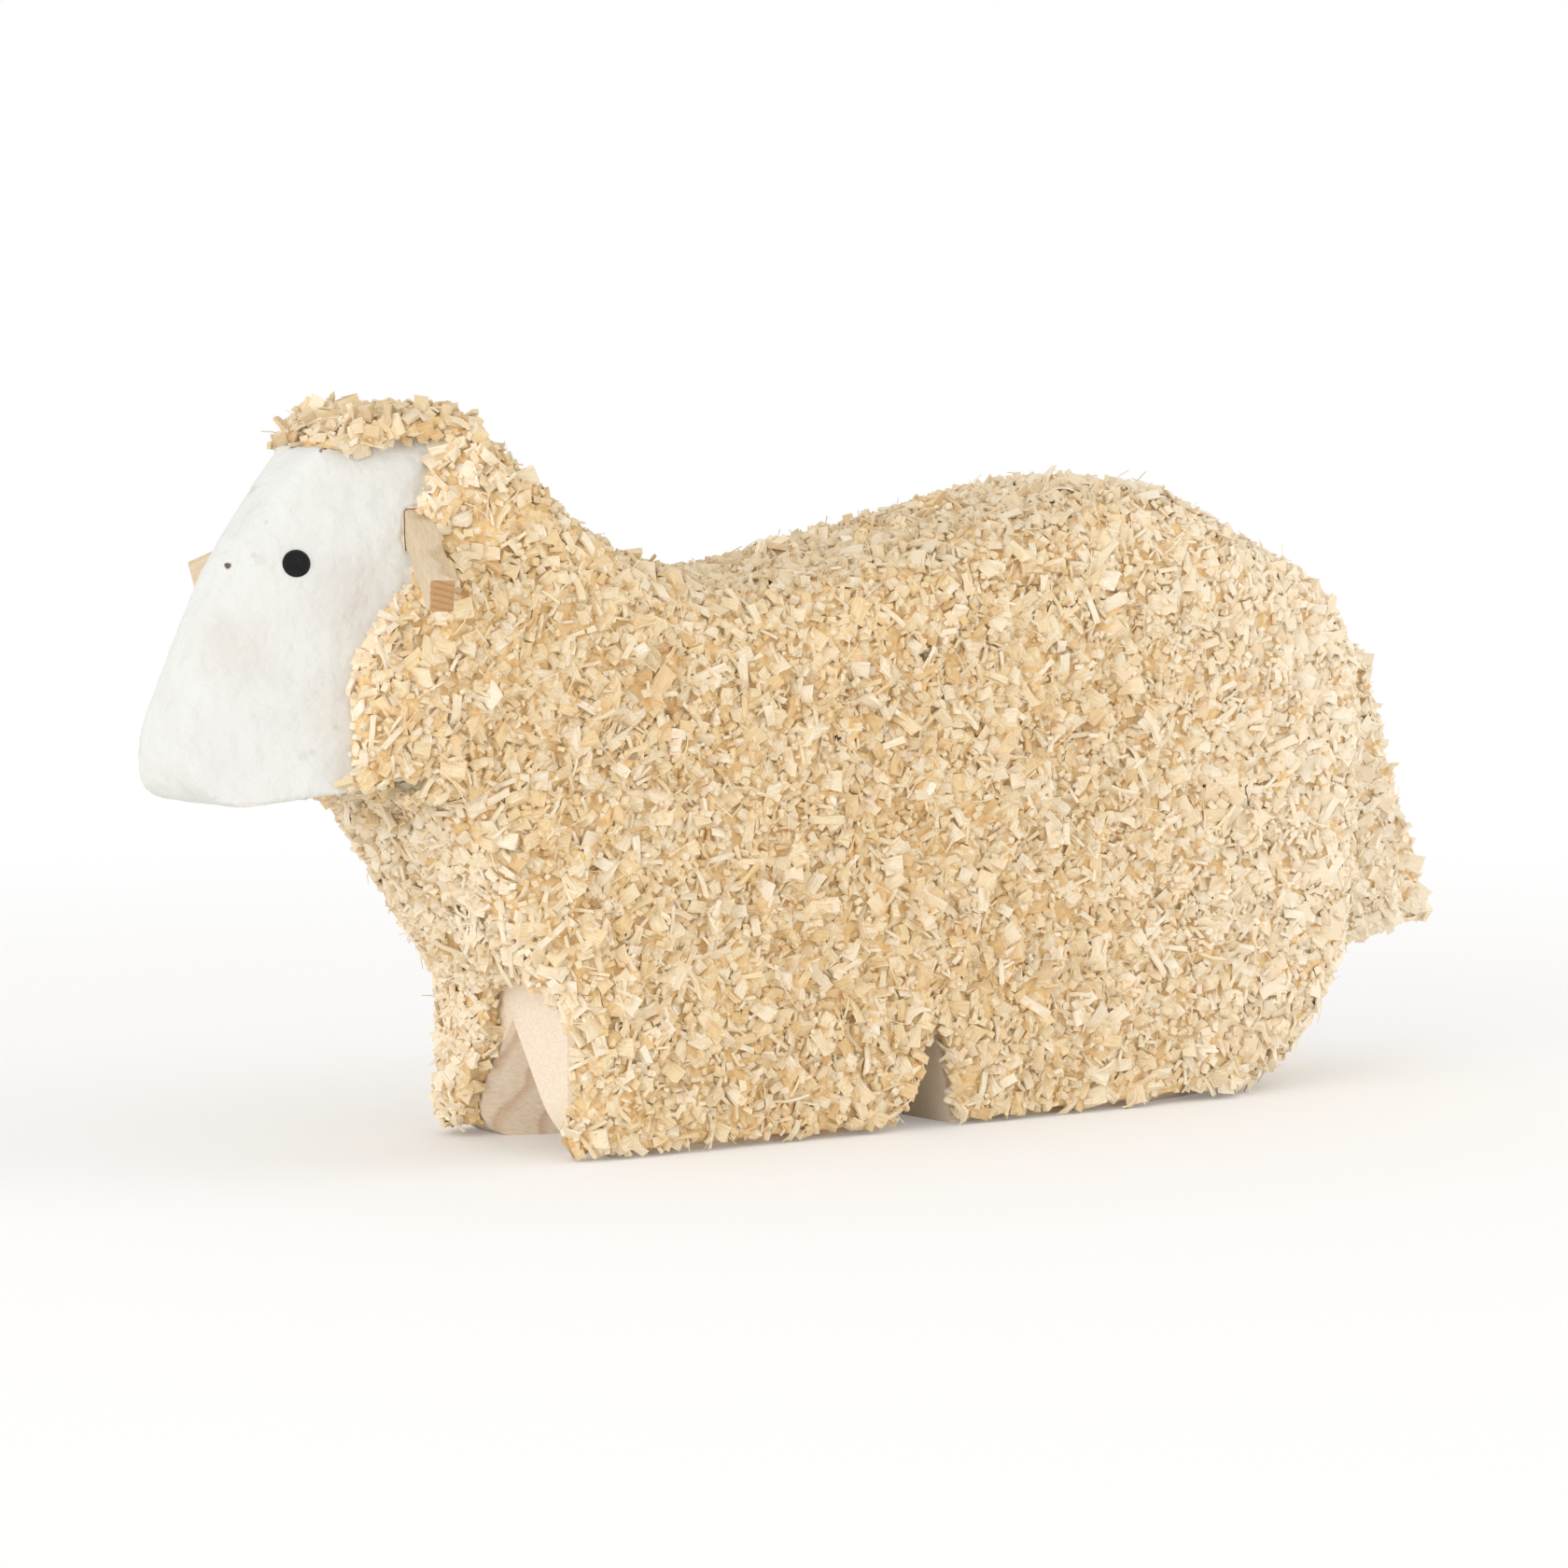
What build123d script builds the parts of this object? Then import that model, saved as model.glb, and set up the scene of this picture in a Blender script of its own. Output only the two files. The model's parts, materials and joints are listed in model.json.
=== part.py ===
"""A wooden sheep: a sawn and carved body, a coat of glued wood chips, a painted face, ears and a tail."""

import os
from math import atan2, cos, hypot, radians, sin, tan

from build123d import *

# The board and the coats that lie on it, in millimetres
BOARD = 12.0  # thickness of the sawn board
COAT = 1.2  # glued chips on the body
PAINT = 0.15  # white paint on the face
BACK_EDGE = 3.6  # round of the coat along the back, rump and heels
CHEST_EDGE = 2.7  # and along the chest
BEVEL_SHARE = 0.4  # under them the wood's edges are bevelled by this share of the round
HEM = 0.4  # the coat ends this far above the floor

# Corners of the sawn outline before they are rounded. X runs from the middle of the figure, with the nose
# towards -X, and Z from the floor up.
NOSE_X = -38.9
NOSE_Z = 21.8  # top of the muzzle front
CHIN_Z = 17.8
MUZZLE_ROUND = 2.2
FOREHEAD_X = -31.3
FOREHEAD_DROP = 1.0  # the forehead lies this far below the crown
FACE_BULGE = 0.8  # how far the face line bows forward of straight
CROWN_X = -25.6
CROWN_Z = 35.8
CROWN_ROUND = 3.0
SADDLE_X = -13.3
SADDLE_Z = 25.6
SADDLE_ROUND = 18.0
BACK_X = 16.6
BACK_Z = 31.8
BACK_ROUND = 10.0
RUMP_X = 30.4
HIP_Z = 25.1
HIP_ROUND = 6.2
HEEL_Z = 12.0  # the round of the heel starts here
HEEL_IN = 9.4  # and meets the floor this far in front of the rump
LEG_X = -19.2  # front face of the forelegs
TOE_Z = 2.8  # the round of the forefoot starts here
TOE_IN = 2.0  # and meets the floor this far behind the front face
KNEE_Z = 8.2
KNEE_ROUND = 2.0
THROAT_X = -26.9
THROAT_Z = 19.6
CHEST_RUN = 0.5  # the chest line runs on into the head by this share of its own length

# The belly notch between forelegs and hind legs, and the clefts that part left from right
NOTCH_FRONT_X = -0.9
NOTCH_WIDTH = 4.5
NOTCH_HEIGHT = 5.0
NOTCH_ROOF = 1.0
NOTCH_LEAN = 2.5  # the roof lies this far behind the front corner of the notch
CLEFT_HALF = 4.4
CLEFT_HEIGHT = 6.4
CLEFT_DEPTH = 10.0

# The carved head
FACE_HALF = 2.0  # half width of the face front
FACE_TAPER = 26.5  # degrees that each cheek turns away from the middle plane
BROW_TURN = 45.0  # degrees that the bevel between face front and cheek turns away from the middle plane
BROW_BACK = 0.35  # that bevel starts this far behind the face line
CHEEK_X = -31.8  # the fleece border at the cheek
CHEEK_DROP = 10.0  # which lies this far below the crown
JAW_SHORT = 0.5  # at the chin the paint ends this far short of the carved cheek's rear end
FORELOCK_RISE = 30.0  # degrees that the front of the forelock rises from the line of the head's top

# Eyes: dots of lacquer on the paint
EYE_X = -33.15
EYE_DROP = 6.3  # below the crown
EYE_DIAMETER = 1.35
EYE_THICK = 0.12
EYE_EDGE = 40  # degrees that the edge of the dot leans in

# Ears: square-cut slivers let into the head
EAR_BELOW = 4.8  # the root lies this far below the crown
EAR_BEHIND = 1.08  # and this far behind the fleece border
EAR_OUT = 6.7  # reach sideways from the head
EAR_DROP = 2.8
EAR_FORWARD = 2.9
EAR_WIDE = 1.7
EAR_THICK = 1.25
EAR_TANG = 1.6  # depth of the socket in the head
EAR_FIT = 0.05

# Tail: a wedge of wood glued to the flat of the rump, with its own coat
TAIL_TOP_DROP = 3.0  # the top of the wedge lies this far below the corner of the hip
TAIL_TOP_OUT = 3.1
TAIL_TIP_Z = 9.0
TAIL_TIP_OUT = 7.34
TAIL_BASE_Z = 7.4
TAIL_THICK = 3.2
TAIL_COAT = 1.0
TAIL_FIT = 0.1

# The largest chips of the coat, which lean out of its flat stretches
CHIP_LONG = 1.9
CHIP_WIDE = 1.5
CHIP_THICK = 0.4
CHIP_TILT = 22.0  # degrees that a chip leans out
CHIP_TURN = 137.5  # degrees that each chip is turned on from the one before
CHIP_PITCH = 3.3  # from chip to chip
CHIP_FLAT = 0.05  # the coat under a chip is as flat as this

PAST = 5.0  # how far a cut runs on past the wood

os.makedirs("parts", exist_ok=True)

# The head hangs from its crown: forehead, eyes, ears and the fleece border at the cheek follow it
FOREHEAD_Z = CROWN_Z - FOREHEAD_DROP
CHEEK_Z = CROWN_Z - CHEEK_DROP
EYE_Z = CROWN_Z - EYE_DROP
EAR_Z = CROWN_Z - EAR_BELOW
EAR_X = CROWN_X + (CHEEK_X - CROWN_X) * EAR_BELOW / CHEEK_DROP + EAR_BEHIND

# The face line runs from the muzzle to the forehead. Distances behind it set the width of the head.
FACE_LINE = hypot(FOREHEAD_X - NOSE_X, FOREHEAD_Z - NOSE_Z)
UP_X = (FOREHEAD_X - NOSE_X) / FACE_LINE
UP_Z = (FOREHEAD_Z - NOSE_Z) / FACE_LINE
FACE_PLANE = Plane(origin=(NOSE_X, 0, NOSE_Z), x_dir=(UP_Z, 0, -UP_X), z_dir=(UP_X, 0, UP_Z))
CHEEK_SLOPE = tan(radians(FACE_TAPER))


def behind_face(x, z):
    """Distance of a point behind the straight face line."""
    return (x - NOSE_X) * UP_Z - (z - NOSE_Z) * UP_X


def cheek_half(behind, grow=0.0):
    """Half width of the head at a distance behind the face line, with a coat of the given thickness."""
    return FACE_HALF + behind * CHEEK_SLOPE + grow / cos(radians(FACE_TAPER))


def cheek_plane(x, z, side, grow=0.0):
    """A plane on the cheek at a side-view place, facing out. side is -1 for the sheep's left."""
    out = Vector(-UP_Z * CHEEK_SLOPE, side, UP_X * CHEEK_SLOPE).normalized()
    place = (x, side * cheek_half(behind_face(x, z), grow), z)
    return Plane(origin=place, x_dir=(UP_X, 0, UP_Z), z_dir=out)


def brow_back(grow):
    """Distance behind the face line at which a coated cheek turns into the bevel of the brow."""
    turn, taper = radians(BROW_TURN), radians(FACE_TAPER)
    return BROW_BACK - grow * (1 / cos(turn) - 1 / cos(taper)) / (tan(turn) - tan(taper))


# The carved cheek runs out on the side of the board, and at the chin the paint ends just short of that
CHEEK_END = (BOARD / 2 - FACE_HALF) / CHEEK_SLOPE
JAW_X = NOSE_X + (CHEEK_END + (CHIN_Z - NOSE_Z) * UP_X) / UP_Z - JAW_SHORT

# The chest line runs straight on into the head
CHEST_X = THROAT_X + (THROAT_X - LEG_X) * CHEST_RUN
CHEST_Z = THROAT_Z + (THROAT_Z - KNEE_Z) * CHEST_RUN

# The belly notch in side view, from its front corner over its roof to its rear corner
NOTCH = [
    (NOTCH_FRONT_X, 0),
    (NOTCH_FRONT_X + NOTCH_LEAN, NOTCH_HEIGHT),
    (NOTCH_FRONT_X + NOTCH_LEAN + NOTCH_ROOF, NOTCH_HEIGHT),
    (NOTCH_FRONT_X + NOTCH_WIDTH, 0),
]


def torso_side(grow):
    """The sawn outline without the face, let out by a coat of the given thickness."""
    with BuildSketch(Plane.XZ) as side:
        with BuildLine():
            FilletPolyline(
                (FOREHEAD_X, FOREHEAD_Z),
                (CROWN_X, CROWN_Z),
                (SADDLE_X, SADDLE_Z),
                (BACK_X, BACK_Z),
                (RUMP_X, HIP_Z),
                (RUMP_X, 0),
                radius=[CROWN_ROUND, SADDLE_ROUND, BACK_ROUND, HIP_ROUND],
            )
            Polyline((LEG_X, 0), *NOTCH, (RUMP_X, 0))
            FilletPolyline((LEG_X, 0), (LEG_X, KNEE_Z), (CHEST_X, CHEST_Z), radius=KNEE_ROUND)
            Line((CHEST_X, CHEST_Z), (FOREHEAD_X, FOREHEAD_Z))
        make_face()
        if grow:
            offset(amount=grow, kind=Kind.INTERSECTION)
    return side.sketch


def head_side(grow):
    """The outline of the face and jaw, running back into the neck, let out by a coat."""
    mid_x = (NOSE_X + FOREHEAD_X) / 2 - FACE_BULGE * UP_Z
    mid_z = (NOSE_Z + FOREHEAD_Z) / 2 + FACE_BULGE * UP_X
    neck_x = (THROAT_X + SADDLE_X) / 2
    with BuildSketch(Plane.XZ) as side:
        with BuildLine():
            ThreePointArc((NOSE_X, NOSE_Z), (mid_x, mid_z), (FOREHEAD_X, FOREHEAD_Z))
            Polyline((FOREHEAD_X, FOREHEAD_Z), (neck_x, THROAT_Z), (THROAT_X, THROAT_Z))
            FilletPolyline((THROAT_X, THROAT_Z), (NOSE_X, CHIN_Z), (NOSE_X, NOSE_Z), radius=MUZZLE_ROUND)
        make_face()
        if grow:
            offset(amount=grow, kind=Kind.INTERSECTION)
    return side.sketch


def foot_waste(face_x, inward, start_z, reach, grow):
    """What is rasped off a foot corner, clear of a coat. inward is 1 at the toe and -1 at the heel."""
    floor_x = face_x + inward * reach
    outer_x = face_x - inward * PAST
    with BuildSketch(Plane.XZ) as side:
        with BuildLine():
            TangentArc((face_x, start_z), (floor_x, 0), tangent=(0, -1))
            Polyline(
                (floor_x, 0),
                (floor_x, -PAST),
                (outer_x, -PAST),
                (outer_x, start_z + COAT),
                (face_x, start_z + COAT),
                (face_x, start_z),
            )
        make_face()
        if grow:
            offset(amount=-grow, kind=Kind.INTERSECTION)
    return side.sketch


def ease_edges(edges, radius, rounded):
    """Rounds edges of the coat, or bevels edges of the wood under it."""
    if rounded:
        fillet(edges, radius=radius)
    else:
        chamfer(edges, length=radius * BEVEL_SHARE)


def carved_form(grow, rounded=False):
    """The sawn and tapered figure in a coat of the given thickness, with its edges bevelled or rounded."""
    half = BOARD / 2 + grow
    torso, head = torso_side(grow), head_side(grow)
    toe = foot_waste(LEG_X, 1, TOE_Z, TOE_IN, grow)
    heel = foot_waste(RUMP_X, -1, HEEL_Z, HEEL_IN, grow)
    with BuildPart() as form:
        extrude(torso, amount=half, both=True)
        extrude(heel, amount=half + PAST, both=True, mode=Mode.SUBTRACT)
        rims = form.faces().filter_by(Axis.Y).edges()
        top = [rim for rim in rims if rim.center().Z > HIP_Z - HIP_ROUND and rim.center().X > CROWN_X]
        rump = [rim for rim in rims if rim.center().X > RUMP_X - HEEL_IN / 2 and rim not in top]
        ease_edges(top + rump, BACK_EDGE, rounded)
        rims = form.faces().filter_by(Axis.Y).edges()
        chest = [rim for rim in rims if rim.center().X < LEG_X and KNEE_Z < rim.center().Z < CHEST_Z]
        ease_edges(chest, CHEST_EDGE, rounded)
        extrude(toe, amount=half + PAST, both=True, mode=Mode.SUBTRACT)
        extrude(head, amount=half, both=True)
        front = 2 * (FACE_BULGE + grow)
        rear = (half + PAST - FACE_HALF) / CHEEK_SLOPE
        brow = brow_back(grow)
        ridge = cheek_half(brow, grow) - (brow + front) * tan(radians(BROW_TURN))
        with BuildSketch(FACE_PLANE):
            with BuildLine():
                Polyline(
                    (-front, max(ridge, 0)),
                    (brow, cheek_half(brow, grow)),
                    (rear, cheek_half(rear, grow)),
                    (-front, cheek_half(rear, grow)),
                    close=True,
                )
            make_face()
            mirror(about=Plane.XZ)
        extrude(amount=FACE_LINE + PAST, both=True, mode=Mode.SUBTRACT)
    return form.part


def painted_side():
    """A prism, seen from the side, over all of the head that the fleece leaves bare: face, cheeks and jaw."""
    ahead_x = NOSE_X - PAST
    lean = atan2(CROWN_Z - FOREHEAD_Z, CROWN_X - FOREHEAD_X) + radians(FORELOCK_RISE)
    lean_x = FOREHEAD_X + PAST * cos(lean)
    lean_z = FOREHEAD_Z + PAST * sin(lean)
    jaw_z = CHIN_Z + (THROAT_Z - CHIN_Z) * (JAW_X - NOSE_X) / (THROAT_X - NOSE_X)
    chest = hypot(THROAT_X - LEG_X, THROAT_Z - KNEE_Z)
    under_x = THROAT_X - PAST * (THROAT_Z - KNEE_Z) / chest
    under_z = THROAT_Z + PAST * (THROAT_X - LEG_X) / chest
    with BuildPart() as window:
        with BuildSketch(Plane.XZ):
            with BuildLine():
                Polyline(
                    (CROWN_X, CROWN_Z),
                    (CHEEK_X, CHEEK_Z),
                    (JAW_X, jaw_z + PAINT),
                    (THROAT_X, THROAT_Z + PAINT),
                    (under_x, under_z),
                    (ahead_x, CHIN_Z - PAST),
                    (ahead_x, FOREHEAD_Z + PAST),
                    (lean_x, lean_z),
                    (FOREHEAD_X, FOREHEAD_Z),
                    close=True,
                )
            make_face()
        extrude(amount=BOARD / 2 + COAT + PAST, both=True)
    return window.part


def leg_cleft(face_x, inward):
    """The slanting V cut that parts left leg from right. inward is 1 from the front, -1 from behind."""
    ahead = COAT + PAST
    lead = 1 + ahead / CLEFT_DEPTH
    with BuildPart() as cleft:
        start = Plane(origin=(face_x - inward * ahead, 0, 0), x_dir=(0, 1, 0), z_dir=(1, 0, 0))
        with BuildSketch(start):
            with BuildLine():
                Polyline(
                    (-CLEFT_HALF * lead, 0),
                    (0, CLEFT_HEIGHT * lead),
                    (CLEFT_HALF * lead, 0),
                    close=True,
                )
            make_face()
        along = Vector(inward * CLEFT_DEPTH, 0, -CLEFT_HEIGHT) * lead
        extrude(amount=along.length, dir=along)
    return cleft.part


def ear_sliver(side, grow=0.0):
    """One ear with its tang, let out by a clearance for the socket. side is -1 for the sheep's left."""
    root = Vector(EAR_X, side * cheek_half(behind_face(EAR_X, EAR_Z)), EAR_Z)
    along = Vector(-EAR_FORWARD, side * EAR_OUT, -EAR_DROP)
    level = Vector(along.Y, -along.X, 0)
    bottom = root - along.normalized() * (EAR_TANG + grow)
    with BuildPart() as sliver:
        with BuildSketch(Plane(origin=bottom, x_dir=level, z_dir=along)):
            Rectangle(EAR_THICK + 2 * grow, EAR_WIDE + 2 * grow)
        extrude(amount=along.length + EAR_TANG + 2 * grow)
    return sliver.part


def tail_form(grow):
    """The tail wedge on the flat of the rump, with a coat of the given thickness."""
    top_z = HIP_Z - TAIL_TOP_DROP
    with BuildPart() as wedge:
        with BuildSketch(Plane.XZ):
            with BuildLine():
                Polyline(
                    (RUMP_X, TAIL_BASE_Z),
                    (RUMP_X, top_z),
                    (RUMP_X + TAIL_TOP_OUT, top_z),
                    (RUMP_X + TAIL_TIP_OUT, TAIL_TIP_Z),
                    close=True,
                )
            make_face()
            if grow:
                offset(amount=grow, kind=Kind.INTERSECTION)
        extrude(amount=TAIL_THICK / 2 + grow, both=True)
    return wedge.part


def landing(form, place, toward):
    """Where a line of sight first meets a form, with the surface's normal there, or nothing."""
    hits = form.find_intersection_points(Axis(place - toward * (RUMP_X - NOSE_X), toward))
    return hits[0] if hits else None


def lies_flat(form, place, toward, steps, hit):
    """Whether the form stays flat for half a chip's length around a hit."""
    for step in steps:
        near = landing(form, place + step * (CHIP_LONG / 2), toward)
        if not near or abs((near[0] - hit[0]).dot(hit[1])) > CHIP_FLAT:
            return False
    return True


def chip_spots(form, toward, along, across):
    """Spots on the left half of a form, seen from one side, where a chip can lie, in staggered rows."""
    box = form.bounding_box()
    middle = Vector(box.center().X, 0, box.center().Z)
    row_pitch = CHIP_PITCH * cos(radians(30))
    reach = int(box.size.X / 2 / row_pitch)
    spots = []
    for row in range(-reach, reach):
        for column in range(-reach, reach):
            run = (column + row % 2 / 2) * CHIP_PITCH
            place = middle + along * run + across * ((row + 0.5) * row_pitch)
            hit = landing(form, place, toward)
            if not hit or -hit[1].dot(toward) < cos(radians(45)) or hit[0].Y > -CHIP_LONG / 2:
                continue
            if lies_flat(form, place, toward, (along, -along, across, -across), hit):
                spots.append(hit)
    return spots


def wood_chip(spot, out, number):
    """One of the largest chips, half sunk in the coat and turned on from the one before."""
    turned = Plane(origin=spot, z_dir=out).rotated((0, 0, number * CHIP_TURN))
    with BuildPart(turned.rotated((0, CHIP_TILT, 0))) as chip:
        Box(CHIP_LONG, CHIP_WIDE, CHIP_THICK)
    return chip.part


# Forms that several pieces are cut from or cut with
blank = carved_form(0)
coat_form = carved_form(COAT, rounded=True)
paint_form = carved_form(PAINT)
painted = painted_side()
clefts = [leg_cleft(LEG_X, 1), leg_cleft(RUMP_X, -1)]
slivers = {"left": ear_sliver(-1), "right": ear_sliver(1)}
sockets = [ear_sliver(-1, EAR_FIT), ear_sliver(1, EAR_FIT)]
wedge = tail_form(0)
wedge_coat = tail_form(TAIL_COAT)
wedge_gap = tail_form(TAIL_FIT)

# The body: board, carved head, parted legs and a socket for each ear
with BuildPart() as wooden_body:
    add(blank)
    add(clefts + sockets, mode=Mode.SUBTRACT)
wooden_body.part.label = "wooden_body"
export_step(wooden_body.part, "parts/wooden_body.step")

# The glued layer of the coat: it leaves the face, the cut walls, the soles, the ears and the tail bare
with BuildPart() as layer:
    add(coat_form)
    add([blank, painted, wedge_gap] + clefts + sockets, mode=Mode.SUBTRACT)
    with BuildSketch(Plane.XZ):
        with BuildLine():
            Polyline(*NOTCH, close=True)
        make_face()
        with Locations((0, HEM - PAST)):
            Rectangle(2 * (RUMP_X + PAST), 2 * PAST)
    extrude(amount=BOARD / 2 + COAT + PAST, both=True, mode=Mode.SUBTRACT)
layer_solid = layer.part.solid()

# The coat: the layer with its largest chips on the flanks, the back and the chest, the same on both sides
side_x, side_y, side_z = Vector(1, 0, 0), Vector(0, 1, 0), Vector(0, 0, 1)
spots = chip_spots(layer_solid, side_y, side_x, side_z)
spots += chip_spots(layer_solid, -side_z, side_x, side_y)
spots += chip_spots(layer_solid, side_x, side_z, side_y)
chips = [wood_chip(spot, out, number) for number, (spot, out) in enumerate(spots)]
with BuildPart() as fleece_coat:
    add(layer_solid)
    add(chips + [chip.mirror(Plane.XZ) for chip in chips])
fleece_coat.part.label = "fleece_coat"
export_step(fleece_coat.part, "parts/fleece_coat.step")

# The white paint on the head
with BuildPart() as face_paint:
    add(paint_form)
    add(painted, mode=Mode.INTERSECT)
    add([blank] + sockets, mode=Mode.SUBTRACT)
face_paint.part.label = "face_paint"
export_step(face_paint.part, "parts/face_paint.step")

# Eyes and ears, one on each side
for side, name in ((-1, "left"), (1, "right")):
    with BuildPart() as eye:
        with BuildSketch(cheek_plane(EYE_X, EYE_Z, side, PAINT)):
            Circle(EYE_DIAMETER / 2)
        extrude(amount=EYE_THICK, taper=EYE_EDGE)
    eye.part.label = f"eye_{name}"
    export_step(eye.part, f"parts/eye_{name}.step")

    with BuildPart() as ear:
        add(slivers[name])
    ear.part.label = f"ear_{name}"
    export_step(ear.part, f"parts/ear_{name}.step")

# The tail's wood
with BuildPart() as tail_wedge:
    add(wedge)
tail_wedge.part.label = "tail_wedge"
export_step(tail_wedge.part, "parts/tail_wedge.step")

# The tail's coat, which ends on the coat of the rump
with BuildPart() as tail_fleece:
    add(wedge_coat)
    add(wedge, mode=Mode.SUBTRACT)
    split(bisect_by=Plane.YZ.offset(RUMP_X + COAT), keep=Keep.TOP)
tail_fleece.part.label = "tail_fleece"
export_step(tail_fleece.part, "parts/tail_fleece.step")
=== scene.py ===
"""A wooden sheep with a coat of glued wood chips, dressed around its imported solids."""

import json
import math
import random

import bmesh
import bpy
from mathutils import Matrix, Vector, noise
from mathutils.bvhtree import BVHTree

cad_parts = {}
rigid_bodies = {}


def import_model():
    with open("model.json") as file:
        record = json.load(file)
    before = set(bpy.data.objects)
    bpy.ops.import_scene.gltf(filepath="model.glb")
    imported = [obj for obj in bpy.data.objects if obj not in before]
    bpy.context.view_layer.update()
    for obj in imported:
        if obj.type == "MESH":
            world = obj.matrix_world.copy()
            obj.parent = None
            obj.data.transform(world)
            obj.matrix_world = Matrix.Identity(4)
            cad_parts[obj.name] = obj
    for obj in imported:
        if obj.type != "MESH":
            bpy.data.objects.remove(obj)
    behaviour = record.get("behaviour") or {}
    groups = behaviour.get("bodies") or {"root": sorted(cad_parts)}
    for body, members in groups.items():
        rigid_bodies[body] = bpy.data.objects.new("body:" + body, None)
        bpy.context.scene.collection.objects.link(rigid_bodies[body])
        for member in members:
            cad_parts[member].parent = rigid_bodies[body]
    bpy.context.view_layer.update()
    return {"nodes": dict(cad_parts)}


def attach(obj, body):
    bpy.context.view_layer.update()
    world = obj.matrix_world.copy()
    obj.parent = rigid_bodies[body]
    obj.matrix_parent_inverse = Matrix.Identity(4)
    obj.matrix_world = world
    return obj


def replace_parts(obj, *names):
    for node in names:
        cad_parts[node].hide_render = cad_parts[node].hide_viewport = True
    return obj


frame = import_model()
nodes = frame["nodes"]

MM = 0.001


# The camera stands in front of the sheep's left shoulder, a little above its back, with a long lens.
CAMERA_TURN = math.radians(-35.7)
CAMERA_RISE = math.radians(4.74)
CAMERA_REACH = 310 * MM
CAMERA_AIM = Vector((-2.6, 0, 17.3)) * MM
FOCAL_PIXELS = 6500
PHOTO_PIXELS = 1680

camera = bpy.data.objects.new("camera", bpy.data.cameras.new("camera"))
camera.data.sensor_width = 36
camera.data.lens = camera.data.sensor_width * FOCAL_PIXELS / PHOTO_PIXELS
back = Vector((
    math.sin(CAMERA_TURN) * math.cos(CAMERA_RISE),
    -math.cos(CAMERA_TURN) * math.cos(CAMERA_RISE),
    math.sin(CAMERA_RISE),
))
camera.location = CAMERA_AIM + back * CAMERA_REACH
camera.rotation_euler = (-back).to_track_quat("-Z", "Y").to_euler()
camera.data.clip_start = 10 * MM
camera.data.clip_end = 10
bpy.context.scene.collection.objects.link(camera)
bpy.context.scene.camera = camera
bpy.context.scene.view_settings.view_transform = "Standard"


# The body is one piece of pale softwood: sawn from a board, with legs parted by a cleft and a belly notch.
# Bare wood shows on the soles, in the cuts and at the front of the near foreleg. It stays raw.
WOOD_PALE = (248, 234, 214)
WOOD_RING = (230, 203, 174)
WOOD_ACROSS = (0, 0.78, 0.625)
RING_PITCH = 0.75 * MM


def tint(colour, alpha=1.0):
    """A colour written as 0 to 255 on screen, as the shader reads it."""
    linear = [(c / 255 / 12.92) if c <= 10 else ((c / 255 + 0.055) / 1.055) ** 2.4 for c in colour]
    return (*linear, alpha)


def put(tree, kind, inputs=None, **settings):
    """Adds a node, sets its options, and fills inputs by name or number: a socket is linked, a value set."""
    made = tree.nodes.new(kind)
    for option, value in settings.items():
        setattr(made, option, value)
    for place, value in (inputs or {}).items():
        if isinstance(value, bpy.types.NodeSocket):
            tree.links.new(value, made.inputs[place])
        else:
            made.inputs[place].default_value = value
    return made


def new_material(name):
    """An empty node material, ready for a shader."""
    material = bpy.data.materials.new(name)
    material.use_nodes = True
    material.node_tree.nodes.clear()
    return material, material.node_tree


def ramp(tree, factor, stops):
    """A colour ramp through stops of (place, colour)."""
    made = put(tree, "ShaderNodeValToRGB", {"Fac": factor})
    band = made.color_ramp
    while len(band.elements) < len(stops):
        band.elements.new(0.5)
    for element, (place, colour) in zip(band.elements, stops):
        element.position = place
        element.color = tint(colour)
    return made.outputs["Color"]


def times(tree, first, second):
    """Two colours multiplied."""
    made = put(
        tree,
        "ShaderNodeMix",
        {"Factor": 1.0, 6: first, 7: second},
        data_type="RGBA",
        blend_type="MULTIPLY",
    )
    return made.outputs[2]


def blend(tree, share, first, second):
    """Two colours mixed: the share is how much of the second shows."""
    made = put(tree, "ShaderNodeMix", {"Factor": share, 6: first, 7: second}, data_type="RGBA")
    return made.outputs[2]


def finish_on(tree, colour, roughness, shine, normal=None):
    """The surface shader of a finish, joined to the material's output."""
    inputs = {"Base Color": colour, "Roughness": roughness, "Specular IOR Level": shine}
    if normal:
        inputs["Normal"] = normal
    shader = put(tree, "ShaderNodeBsdfPrincipled", inputs)
    put(tree, "ShaderNodeOutputMaterial", {"Surface": shader.outputs[0]})


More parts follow.
